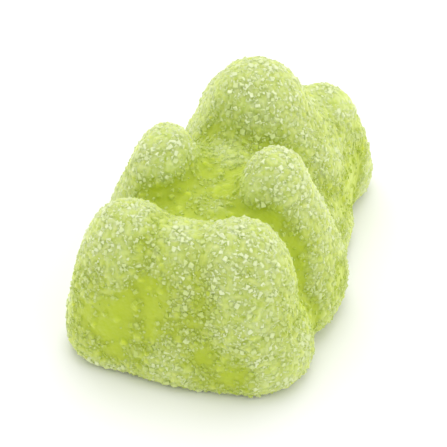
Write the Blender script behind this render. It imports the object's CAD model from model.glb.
import itertools
import math

import bmesh
import bpy
import numpy as np
from mathutils import Euler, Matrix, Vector, noise
from mathutils.bvhtree import BVHTree
from mathutils.kdtree import KDTree


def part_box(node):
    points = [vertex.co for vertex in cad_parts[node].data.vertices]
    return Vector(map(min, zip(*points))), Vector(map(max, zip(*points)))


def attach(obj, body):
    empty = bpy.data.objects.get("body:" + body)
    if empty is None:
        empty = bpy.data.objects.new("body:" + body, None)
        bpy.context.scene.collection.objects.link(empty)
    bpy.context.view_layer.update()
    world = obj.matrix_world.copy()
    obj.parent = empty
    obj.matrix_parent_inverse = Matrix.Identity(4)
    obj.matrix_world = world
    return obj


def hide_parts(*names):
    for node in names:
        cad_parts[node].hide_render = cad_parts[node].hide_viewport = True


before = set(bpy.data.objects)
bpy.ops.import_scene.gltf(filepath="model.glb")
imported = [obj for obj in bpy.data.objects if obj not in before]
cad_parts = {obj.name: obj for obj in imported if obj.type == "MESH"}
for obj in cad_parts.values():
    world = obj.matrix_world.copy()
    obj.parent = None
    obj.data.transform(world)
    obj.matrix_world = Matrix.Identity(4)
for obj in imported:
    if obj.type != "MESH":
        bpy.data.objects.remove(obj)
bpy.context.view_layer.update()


# ---- Camera ---------------------------------------------------------------------------------------------
# Looks down on the bear from its feet, a little from its right, from far off through a long lens, so that
# the near feet are hardly larger than the far ears.
VIEW_AZIMUTH = math.radians(18.0)
VIEW_ELEVATION = math.radians(36.0)
VIEW_LENS = 300.0            # mm
VIEW_WIDTH = 1.05            # width of the picture, in lengths of the bear

bear_low, bear_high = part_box("gummy_bear")
bear_middle = (bear_low + bear_high) / 2.0
bear_size = bear_high - bear_low

towards_camera = Vector((
    math.sin(VIEW_AZIMUTH) * math.cos(VIEW_ELEVATION),
    -math.cos(VIEW_AZIMUTH) * math.cos(VIEW_ELEVATION),
    math.sin(VIEW_ELEVATION),
))
view_right = Vector((math.cos(VIEW_AZIMUTH), math.sin(VIEW_AZIMUTH), 0.0))
view_up = towards_camera.cross(view_right)

camera_data = bpy.data.cameras.new("camera")
camera_data.lens = VIEW_LENS
camera = bpy.data.objects.new("camera", camera_data)
bpy.context.collection.objects.link(camera)
bpy.context.scene.camera = camera
view_distance = bear_size.y * VIEW_WIDTH * camera_data.lens / camera_data.sensor_width
view_aim = towards_camera * towards_camera.dot(bear_middle)
for view_axis in (view_right, view_up):
    along = [view_axis.dot(vert.co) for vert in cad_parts["gummy_bear"].data.vertices]
    view_aim += view_axis * (min(along) + max(along)) / 2.0
camera.location = view_aim + towards_camera * view_distance
camera.rotation_euler = towards_camera.to_track_quat("Z", "Y").to_euler()
camera_data.clip_start = view_distance * 0.1
camera_data.clip_end = view_distance * 10.0


# ---- Jelly body -----------------------------------------------------------------------------------------
# Fruit jelly cast in one piece, soft and cloudy, tumbled in caster sugar and sour powder while it was damp.
# The larger grains have drawn water from the jelly and grown into it, so jelly and grains share one skin.
# It is worked out in millimetres from a copy of the solid, and brought to metres at the end.
MM = 0.001
SUGAR_ROOM = 0.15            # mm from the solid's surface to the jelly under its sugar
JELLY_GRID = 0.135           # mm between the points of the bare jelly
SKIN_ROUNDS = 14             # rounds of smoothing that take out the solid's facets
EDGE_ROUNDS = 70             # rounds after which the edges of the limbs are gone
FORM_ROUNDS = 260            # rounds after which only the bear's broad form is left
DIMPLES = ((1.9, 0.07), (0.62, 0.03))       # mm apart, mm deep
BACK_FACING = -0.85          # the flat back is what faces down more than this

SUGAR_SEED = 41
GRAIN_SHAPES = 8             # different grains of each kind
GRAIN_UNEVEN = 0.16          # how far a grain's corners stray, in its own widths
GRAIN_LEAN = 0.6             # radians
SUNK = 0.55                  # share of a grain that is under the jelly's skin
CELL = 0.31                  # mm, more than two grains can be apart and still touch
COARSE = {"tries": 26000, "small": 0.20, "large": 0.30, "least": 0.25, "gap": 0.90}
MEDIUM = {"tries": 40000, "small": 0.13, "large": 0.20, "least": 0.08, "gap": 0.80}
BODY_GRID = 0.08             # mm, fine enough to keep the grains' edges
BODY_FACES = 97000           # four-sided faces, or pairs of triangles
BODY_SHARP = math.radians(55.0)
GRAIN_RISE = 0.11            # mm above the bare jelly where a grain shows its full whiteness
POWDER_SPAN = 0.24           # mm between the specks of sour powder

# Where the bear lay against its neighbours and the sugar was rubbed off: place and radius in mm.
RUBBED = (
    ((-2.6, -11.0, 4.2), 3.0), ((3.4, -10.8, 2.0), 2.2), ((0.0, -1.6, 5.4), 2.4), ((6.6, -2.0, 3.0), 2.6),
    ((-6.4, 3.0, 3.2), 3.0), ((1.5, 10.8, 3.0), 2.6), ((5.0, 6.0, 3.0), 2.2), ((-6.6, -6.5, 4.0), 2.2),
)

JELLY_CLEAR = (0.45, 0.555, 0.025)
JELLY_HAZY = (0.465, 0.58, 0.06)
GROWN_GRAIN = (0.61, 0.70, 0.28)


def linked(name, mesh):
    """A new object that shows the mesh, at the origin."""
    made = bpy.data.objects.new(name, mesh)
    bpy.context.collection.objects.link(made)
    return made


def reskinned(mesh, grid, faces=None):
    """The mesh's volume with one new skin on an even grid, thinned to that many faces where it's given."""
    block = linked("block", mesh)
    even = block.modifiers.new("even", "REMESH")
    even.mode = "VOXEL"
    even.voxel_size = grid
    shown = block.evaluated_get(bpy.context.evaluated_depsgraph_get())
    if faces:
        thin = block.modifiers.new("thin", "DECIMATE")
        thin.ratio = min(1.0, faces / len(shown.data.polygons))
        shown = block.evaluated_get(bpy.context.evaluated_depsgraph_get())
    skin = bpy.data.meshes.new_from_object(shown)
    bpy.data.objects.remove(block)
    bpy.data.meshes.remove(mesh)
    return skin


def keep_largest_part(mesh):
    """Takes out the small hollows and folds that lie apart from the mesh's main part."""
    bm = bmesh.new()
    bm.from_mesh(mesh)
    parts = []
    reached = set()
    for start in bm.verts:
        if start in reached:
            continue
        reached.add(start)
        part = []
        waiting = [start]
        while waiting:
            vert = waiting.pop()
            part.append(vert)
            for edge in vert.link_edges:
                other = edge.other_vert(vert)
                if other not in reached:
                    reached.add(other)
                    waiting.append(other)
        parts.append(part)
    largest = max(parts, key=len)
    apart = [vert for part in parts if part is not largest for vert in part]
    bmesh.ops.delete(bm, geom=apart, context="VERTS")
    bm.to_mesh(mesh)
    bm.free()


def points_of(mesh):
    """The mesh's points, a row for each."""
    found = np.empty(len(mesh.vertices) * 3)
    mesh.vertices.foreach_get("co", found)
    return found.reshape(-1, 3)


def normals_of(mesh):
    """The way out of the mesh at each of its points."""
    found = np.empty(len(mesh.vertices) * 3)
    mesh.vertex_normals.foreach_get("vector", found)
    return found.reshape(-1, 3)


def move_points(mesh, points):
    """Puts the mesh's points at the given places."""
    mesh.vertices.foreach_set("co", points.ravel())
    mesh.update()


def relaxed(mesh, values, rounds):
    """The values at the mesh's points, each brought half way to its neighbours' mean in every round."""
    ends = np.empty(len(mesh.edges) * 2, dtype=np.int32)
    mesh.edges.foreach_get("vertices", ends)
    ends = ends.reshape(-1, 2)
    start = np.concatenate((ends[:, 0], ends[:, 1]))
    end = np.concatenate((ends[:, 1], ends[:, 0]))
    neighbours = np.bincount(start, minlength=len(values))
    values = values.copy()
    for _ in range(rounds):
        for column in range(values.shape[1]):
            total = np.bincount(start, weights=values[end, column], minlength=len(values))
            values[:, column] += 0.5 * (total / neighbours - values[:, column])
    return values


def noise_at(points, span, place):
    """Smooth noise from -1 to 1 at each point, whose lumps are about span apart."""
    return np.array([noise.noise(Vector(point) / span + Vector(place)) for point in points])


def standing_out(skin, smoothed, outward):
    """How far each point of the skin stands out of a smoothed form of it."""
    return ((skin - smoothed) * outward).sum(axis=1)


copy = bmesh.new()
copy.from_mesh(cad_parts["gummy_bear"].data)
bmesh.ops.remove_doubles(copy, verts=copy.verts, dist=0.001 * MM)
bmesh.ops.scale(copy, verts=copy.verts, vec=(1.0 / MM, 1.0 / MM, 1.0 / MM))
solid = bpy.data.meshes.new("solid")
copy.to_mesh(solid)
copy.free()

bare = reskinned(solid, JELLY_GRID)
move_points(bare, relaxed(bare, points_of(bare), SKIN_ROUNDS))
outward = normals_of(bare)
skin = points_of(bare) - SUGAR_ROOM * outward
without_edges = relaxed(bare, skin, EDGE_ROUNDS)
broad = relaxed(bare, without_edges, FORM_ROUNDS - EDGE_ROUNDS)
ridges = standing_out(skin, broad, outward)
edges = standing_out(skin, without_edges, outward)
for span, depth in DIMPLES:
    skin += outward * (depth * noise_at(skin, span, (3.7, 1.2, span)))[:, None]
move_points(bare, skin)

# How thickly the sugar lies, from 0 to 1: thick on tops, on the back and along edges, thin in creases and
# where it was rubbed off.
facing_up = np.where(outward[:, 2] < BACK_FACING, 0.5, outward[:, 2])
patches = noise_at(skin, 3.4, (8.1, 0.4, 5.5)) + 0.6 * noise_at(skin, 1.3, (0.7, 9.2, 2.6))
cover = 0.33 + 0.36 * facing_up + 0.7 * ridges + 3.0 * edges + 0.42 * patches
streaks = noise_at(skin * (1.0, 1.0, 0.45), 1.1, (5.2, 6.1, 0.3))
for place, radius in RUBBED:
    far = np.linalg.norm(skin - np.array(place), axis=1) / radius
    cover -= 0.36 * np.clip(1.1 - far + 0.5 * streaks, 0.0, 1.0)
cover = np.clip(cover, 0.0, 1.0)
cover = cover * cover * (3.0 - 2.0 * cover)

bare.calc_loop_triangles()
corners = np.empty(len(bare.loop_triangles) * 3, dtype=np.int32)
bare.loop_triangles.foreach_get("vertices", corners)
corners = corners.reshape(-1, 3)
outward = normals_of(bare)


def grain_shape(draws, worn):
    """An uneven block one across, with its edges worn off or not; its points and its triangles."""
    bm = bmesh.new()
    bmesh.ops.create_cube(bm, size=1.0)
    for vert in bm.verts:
        vert.co += Vector(draws.uniform(-GRAIN_UNEVEN, GRAIN_UNEVEN, 3))
    bmesh.ops.scale(bm, verts=bm.verts, vec=(1.0, draws.uniform(0.75, 1.0), draws.uniform(0.7, 1.0)))
    if worn:
        bmesh.ops.bevel(bm, geom=bm.edges[:], offset=0.10, offset_type="OFFSET", segments=1, profile=0.5,
                        affect="EDGES", material=-1)
    bmesh.ops.triangulate(bm, faces=bm.faces)
    bmesh.ops.recalc_face_normals(bm, faces=bm.faces)
    bm.verts.index_update()
    points = np.array([vert.co for vert in bm.verts])
    triangles = np.array([[vert.index for vert in face.verts] for face in bm.faces])
    bm.free()
    return points, triangles


def has_room(taken, point, radius, gap):
    """Whether a grain finds room among those already taken down; if it does, it's taken down too."""
    cell = [math.floor(value / CELL) for value in point]
    for step in itertools.product((-1, 0, 1), repeat=3):
        near = (cell[0] + step[0], cell[1] + step[1], cell[2] + step[2])
        for other, other_radius in taken.get(near, ()):
            if math.dist(point, other) < gap * (radius + other_radius):
                return False
    taken.setdefault(tuple(cell), []).append((point, radius))
    return True


def strewn(draws, taken, tries, small, large, least, gap):
    """Grains that found room on the jelly: their places, the way out there, their widths and the cover.

    They fall where the cover is above least, the more the thicker it is, and a gap below 1 lets them overlap.
    """
    first, second, third = (skin[corners[:, corner]] for corner in range(3))
    area = np.linalg.norm(np.cross(second - first, third - first), axis=1)
    thick = cover[corners].mean(axis=1)
    chance = area * np.clip(thick - least, 0.015, 1.0)
    hit = draws.choice(len(corners), size=tries, p=chance / chance.sum())
    share = np.sqrt(draws.random(tries))
    across = draws.random(tries)
    weights = np.stack((1.0 - share, share * (1.0 - across), share * across), axis=1)[:, :, None]
    points = (skin[corners[hit]] * weights).sum(axis=1)
    ways_out = (outward[corners[hit]] * weights).sum(axis=1)
    ways_out /= np.linalg.norm(ways_out, axis=1)[:, None]
    widths = draws.uniform(small, large, tries)
    laid = [index for index in range(tries)
            if has_room(taken, tuple(points[index]), widths[index] / 2.0, gap)]
    return points[laid], ways_out[laid], widths[laid], thick[hit][laid]


def turns(draws, ways_out):
    """For each way out, a turn that stands a grain on it, swung round at random and leaning a little."""
    made = np.empty((len(ways_out), 3, 3))
    for index, way_out in enumerate(ways_out):
        stand = Vector(way_out).to_track_quat("Z", "Y").to_matrix()
        lean = Euler((*draws.uniform(-GRAIN_LEAN, GRAIN_LEAN, 2), draws.uniform(0.0, math.tau)))
        made[index] = stand @ lean.to_matrix()
    return made


def grain_mesh(name, draws, laid, worn, sunk):
    """All the grains of one kind as one mesh of flat triangles, each with its own whiteness."""
    places, ways_out, widths, thick = laid
    turned = turns(draws, ways_out)
    whiteness = np.clip(0.6 * draws.random(len(places)) + 0.9 * (thick - 0.4), 0.0, 1.0)
    shape_of = draws.integers(0, GRAIN_SHAPES, len(places))
    points = np.empty((0, 3))
    triangles = np.empty((0, 3), dtype=np.int32)
    whites = np.empty(0)
    for kind in range(GRAIN_SHAPES):
        shape, faces = grain_shape(draws, worn)
        mine = np.flatnonzero(shape_of == kind)
        lift = (0.5 - sunk) * np.ptp(shape[:, 2]) * widths[mine]
        grains = np.einsum("nij,pj->npi", turned[mine], shape) * widths[mine][:, None, None]
        grains += (places[mine] + lift[:, None] * ways_out[mine])[:, None, :]
        grains[:, :, 2] -= np.minimum(grains[:, :, 2].min(axis=1), 0.0)[:, None]
        starts = len(points) + np.arange(len(mine)) * len(shape)
        triangles = np.concatenate((triangles, (faces[None] + starts[:, None, None]).reshape(-1, 3)))
        points = np.concatenate((points, grains.reshape(-1, 3)))
        whites = np.concatenate((whites, np.repeat(whiteness[mine], len(shape))))
    mesh = bpy.data.meshes.new(name)
    mesh.vertices.add(len(points))
    mesh.loops.add(triangles.size)
    mesh.polygons.add(len(triangles))
    mesh.vertices.foreach_set("co", points.ravel())
    mesh.polygons.foreach_set("loop_start", np.arange(0, triangles.size, 3))
    mesh.loops.foreach_set("vertex_index", triangles.ravel())
    mesh.update(calc_edges=True)
    mesh.shade_flat()
    write_values(mesh, "whiteness", whites)
    return mesh


def write_values(mesh, name, values):
    """Gives the mesh a number at each point, for its material to read."""
    layer = mesh.attributes.new(name, "FLOAT", "POINT")
    layer.data.foreach_set("value", values.astype(np.float32))


draws = np.random.default_rng(SUGAR_SEED)
taken = {}
coarse = strewn(draws, taken, **COARSE)
medium = strewn(draws, taken, **MEDIUM)

block = bmesh.new()
block.from_mesh(bare)
for laid in (coarse, medium):
    block.from_mesh(grain_mesh("lumps", draws, laid, worn=False, sunk=SUNK))
fused = bpy.data.meshes.new("jelly_body")
block.to_mesh(fused)
block.free()
body_mesh = reskinned(fused, BODY_GRID, BODY_FACES)
keep_largest_part(body_mesh)

# Each point of the body knows how thick the sugar is there and how much of a grain it belongs to.
bare_faces = [face.vertices[:] for face in bare.polygons]
bare_skin = BVHTree.FromPolygons([Vector(point) for point in skin], bare_faces)
grain_at = np.concatenate((coarse[0], medium[0]))
grain_white = draws.random(len(grain_at))
nearest = KDTree(len(grain_at))
for index, point in enumerate(grain_at):
    nearest.insert(point, index)
nearest.balance()
body_points = points_of(body_mesh)
above = np.empty(len(body_points))
cover_here = np.empty(len(body_points))
white_here = np.empty(len(body_points))
for index, point in enumerate(body_points):
    under, way_out, face, _ = bare_skin.find_nearest(Vector(point))
    above[index] = (Vector(point) - under).dot(way_out)
    cover_here[index] = cover[bare_faces[face][0]]
    white_here[index] = grain_white[nearest.find(point)[1]]
frost = np.clip(above / GRAIN_RISE, 0.0, 1.0) * (0.3 + 0.5 * white_here) * (0.2 + 1.1 * cover_here)
write_values(body_mesh, "frost", frost)
write_values(body_mesh, "cover", cover_here)


def new_material(name):
    """A material with its Principled shader, and its nodes and links to add to."""
    made = bpy.data.materials.new(name)
    made.use_nodes = True
    return made, made.node_tree.nodes, made.node_tree.links, made.node_tree.nodes["Principled BSDF"]


def mixed_colour(nodes, links, share, low, high):
    """A colour that goes from low to high as share goes from 0 to 1; low may be a socket."""
    mix = nodes.new("ShaderNodeMix")
    mix.data_type = "RGBA"
    links.new(share, mix.inputs["Factor"])
    if isinstance(low, bpy.types.NodeSocket):
        links.new(low, mix.inputs["A"])
    else:
        mix.inputs["A"].default_value = (*low, 1.0)
    mix.inputs["B"].default_value = (*high, 1.0)
    return mix.outputs["Result"]


def remapped(nodes, links, value, from_low, from_high):
    """The value brought from one range to 0 to 1, held at its ends."""
    ramp = nodes.new("ShaderNodeMapRange")
    links.new(value, ramp.inputs["Value"])
    ramp.inputs["From Min"].default_value = from_low
    ramp.inputs["From Max"].default_value = from_high
    return ramp.outputs["Result"]


def noise_pattern(nodes, links, span, detail):
    """Noise on the piece's own coordinates, its lumps about span mm apart."""
    place_on = nodes.new("ShaderNodeTexCoord")
    pattern = nodes.new("ShaderNodeTexNoise")
    links.new(place_on.outputs["Object"], pattern.inputs["Vector"])
    pattern.inputs["Scale"].default_value = 1.0 / (span * MM)
    pattern.inputs["Detail"].default_value = detail
    return pattern.outputs["Fac"]


def value_read(nodes, name):
    """The number that the mesh has under that name at each point."""
    read = nodes.new("ShaderNodeAttribute")
    read.attribute_name = name
    return read.outputs["Fac"]


def reckoned(nodes, links, operation, first, second):
    """The two values added, multiplied or compared, as the operation says."""
    sum_of = nodes.new("ShaderNodeMath")
    sum_of.operation = operation
    links.new(first, sum_of.inputs[0])
    links.new(second, sum_of.inputs[1])
    return sum_of.outputs["Value"]


jelly, nodes, links, shader = new_material("jelly")
cover_read = value_read(nodes, "cover")
cloud = noise_pattern(nodes, links, span=0.25, detail=3.0)
haze = remapped(nodes, links, reckoned(nodes, links, "ADD", cloud, cover_read), 0.7, 1.6)
under_grains = mixed_colour(nodes, links, haze, JELLY_CLEAR, JELLY_HAZY)
specks = nodes.new("ShaderNodeTexVoronoi")
speck_place = nodes.new("ShaderNodeTexCoord")
links.new(speck_place.outputs["Object"], specks.inputs["Vector"])
specks.inputs["Scale"].default_value = 1.0 / (POWDER_SPAN * MM)
speck_draw = nodes.new("ShaderNodeSeparateColor")
links.new(specks.outputs["Color"], speck_draw.inputs["Color"])
speck_white = remapped(nodes, links, speck_draw.outputs["Red"], 0.3, 0.95)
powder = reckoned(nodes, links, "MULTIPLY", speck_white, cover_read)
whitest = reckoned(nodes, links, "MAXIMUM", powder, value_read(nodes, "frost"))
jelly_colour = mixed_colour(nodes, links, whitest, under_grains, GROWN_GRAIN)
links.new(jelly_colour, shader.inputs["Base Color"])
relief = nodes.new("ShaderNodeBump")
relief.invert = True
relief.inputs["Strength"].default_value = 0.6
relief.inputs["Distance"].default_value = 0.05 * MM
links.new(specks.outputs["Distance"], relief.inputs["Height"])
links.new(relief.outputs["Normal"], shader.inputs["Normal"])
shader.inputs["Roughness"].default_value = 0.4
shader.inputs["Specular IOR Level"].default_value = 0.2
shader.inputs["Subsurface Weight"].default_value = 1.0
shader.inputs["Subsurface Radius"].default_value = (1.0, 1.0, 0.3)
shader.inputs["Subsurface Scale"].default_value = 1.0 * MM
shader.inputs["Sheen Weight"].default_value = 1.0
shader.inputs["Sheen Roughness"].default_value = 0.5
shader.inputs["Sheen Tint"].default_value = (0.9, 1.0, 0.4, 1.0)

move_points(body_mesh, points_of(body_mesh) * MM)
body_mesh.shade_smooth()
body_mesh.set_sharp_from_angle(angle=BODY_SHARP)
body_mesh.materials.append(jelly)
body = linked("jelly_body", body_mesh)
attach(body, "root")
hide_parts("gummy_bear")


# ---- Sugar grains ---------------------------------------------------------------------------------------
# Caster sugar that has stayed dry on the outside of the coat: small clear to white crystals, blocks with worn
# edges. They lie where the body has a grown grain, the coarse ones on every second place, and the finest ones
# fill what is left between.
DRY_SUNK = 0.45
COARSE_STEP = 2
FINE = {"tries": 39000, "small": 0.08, "large": 0.13, "least": 0.05, "gap": 0.60}
SUGAR_CLEAR = (0.42, 0.53, 0.04)
SUGAR_WHITE = (0.70, 0.765, 0.46)

sugar, nodes, links, shader = new_material("sugar")
grain_colour = mixed_colour(nodes, links, value_read(nodes, "whiteness"), SUGAR_CLEAR, SUGAR_WHITE)
links.new(grain_colour, shader.inputs["Base Color"])
shader.inputs["Roughness"].default_value = 0.35
shader.inputs["Specular IOR Level"].default_value = 0.3
shader.inputs["Sheen Weight"].default_value = 1.0
shader.inputs["Sheen Roughness"].default_value = 0.5
shader.inputs["Sheen Tint"].default_value = (0.95, 1.0, 0.55, 1.0)

fine = strewn(draws, taken, **FINE)
dry_coarse = [column[::COARSE_STEP] for column in coarse]
for name, laid, worn in (
    ("sugar_coarse", dry_coarse, True),
    ("sugar_medium", medium, False),
    ("sugar_fine", fine, False),
):
    grains_mesh = grain_mesh(name, draws, laid, worn, DRY_SUNK)
    move_points(grains_mesh, points_of(grains_mesh) * MM)
    grains_mesh.materials.append(sugar)
    grains = linked(name, grains_mesh)
    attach(grains, "root")


# ---- Table ----------------------------------------------------------------------------------------------
# A white table top, wide enough that its far edge is out of sight. It isn't part of the bear.
TABLE_SIZE = 4.0             # m
TABLE_WHITE = (0.9, 0.9, 0.9, 1.0)

top = bmesh.new()
bmesh.ops.create_grid(top, x_segments=1, y_segments=1, size=TABLE_SIZE / 2.0)
table_mesh = bpy.data.meshes.new("table")
top.to_mesh(table_mesh)
top.free()
table_white, _, _, shader = new_material("table_white")
shader.inputs["Base Color"].default_value = TABLE_WHITE
shader.inputs["Roughness"].default_value = 0.6
table_mesh.materials.append(table_white)
table = linked("table", table_mesh)
table.location.z = bear_low.z


# ---- Light ----------------------------------------------------------------------------------------------
# A white room all round and two wide soft boxes, one high behind the bear and a weaker one on its right.
ROOM_LIGHT = 1.0


def soft_box(name, azimuth, elevation, size, power):
    """A square soft box one metre from the bear, facing it."""
    data = bpy.data.lights.new(name, "AREA")
    data.size = size
    data.energy = power
    light = bpy.data.objects.new(name, data)
    bpy.context.collection.objects.link(light)
    turn, rise = math.radians(azimuth), math.radians(elevation)
    away = Vector((math.sin(turn) * math.cos(rise), -math.cos(turn) * math.cos(rise), math.sin(rise)))
    light.location = bear_middle + away
    light.rotation_euler = away.to_track_quat("Z", "Y").to_euler()


soft_box("over", azimuth=200.0, elevation=68.0, size=0.8, power=3.3)
soft_box("right", azimuth=70.0, elevation=30.0, size=0.9, power=1.3)

world = bpy.data.worlds.new("white_room")
world.use_nodes = True
world.node_tree.nodes["Background"].inputs["Color"].default_value = (1.0, 1.0, 1.0, 1.0)
world.node_tree.nodes["Background"].inputs["Strength"].default_value = ROOM_LIGHT
bpy.context.scene.world = world
bpy.context.scene.view_settings.view_transform = "Standard"
